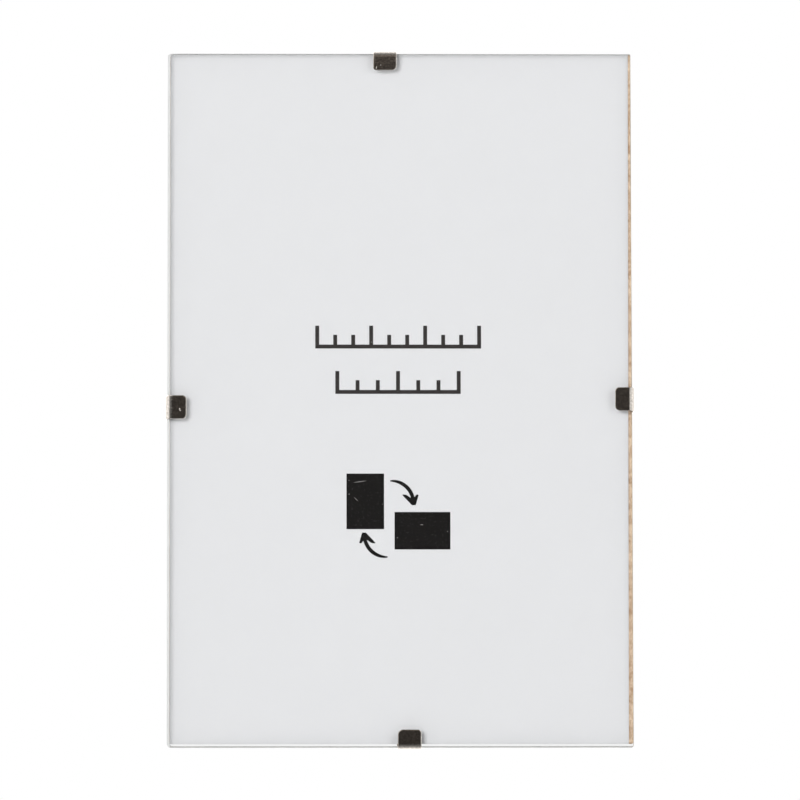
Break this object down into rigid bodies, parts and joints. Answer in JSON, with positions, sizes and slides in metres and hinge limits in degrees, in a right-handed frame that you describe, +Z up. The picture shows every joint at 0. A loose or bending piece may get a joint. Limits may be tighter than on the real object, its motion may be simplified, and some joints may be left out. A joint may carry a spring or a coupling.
{
  "type": "clip frame",
  "caption": "Frameless picture holder: a clear glass pane over a printed sheet and a slotted fibreboard back, gripped by a bent spring clip on each edge.",
  "frame": {"origin": "on the plane of the wall that the four clips' loops bear on, behind the middle of the glass pane", "axes": "+X across the picture to the right as seen from the front, +Y from the glass into the wall, +Z up along the picture's long side"},
  "size_m": [0.1008, 0.0074, 0.151],
  "materials": {
    "float_glass": "polished",
    "paper": "matte",
    "fibreboard": "matte",
    "spring_steel": "gloss"
  },
  "bodies": {
    "pane_and_board": {"backing_board": "fibreboard", "printed_sheet": "paper", "glass_pane": "float_glass"},
    "top_clip": {"clip_top": "spring_steel"},
    "right_clip": {"clip_right": "spring_steel"},
    "bottom_clip": {"clip_bottom": "spring_steel"},
    "left_clip": {"clip_left": "spring_steel"}
  },
  "joints": [
    {"name": "top_clip_opens", "type": "hinge", "parent": "pane_and_board", "child": "top_clip", "pos_m": [-0.00312, -0.00715, 0.0714], "axis": [1, 0, 0], "range_deg": [0, 75], "stiffness_Nm_per_rad": 0.02, "springref_deg": -34.38},
    {"name": "right_clip_opens", "type": "hinge", "parent": "pane_and_board", "child": "right_clip", "pos_m": [0.04635, -0.00715, 0], "axis": [0, 0, -1], "range_deg": [0, 75], "stiffness_Nm_per_rad": 0.02, "springref_deg": -34.38},
    {"name": "bottom_clip_opens", "type": "hinge", "parent": "pane_and_board", "child": "bottom_clip", "pos_m": [0.00201, -0.00715, -0.07115], "axis": [-1, 0, 0], "range_deg": [0, 75], "stiffness_Nm_per_rad": 0.02, "springref_deg": -34.38},
    {"name": "left_clip_opens", "type": "hinge", "parent": "pane_and_board", "child": "left_clip", "pos_m": [-0.04615, -0.00715, -0.00177], "axis": [0, 0, 1], "range_deg": [0, 75], "stiffness_Nm_per_rad": 0.02, "springref_deg": -34.38}
  ]
}
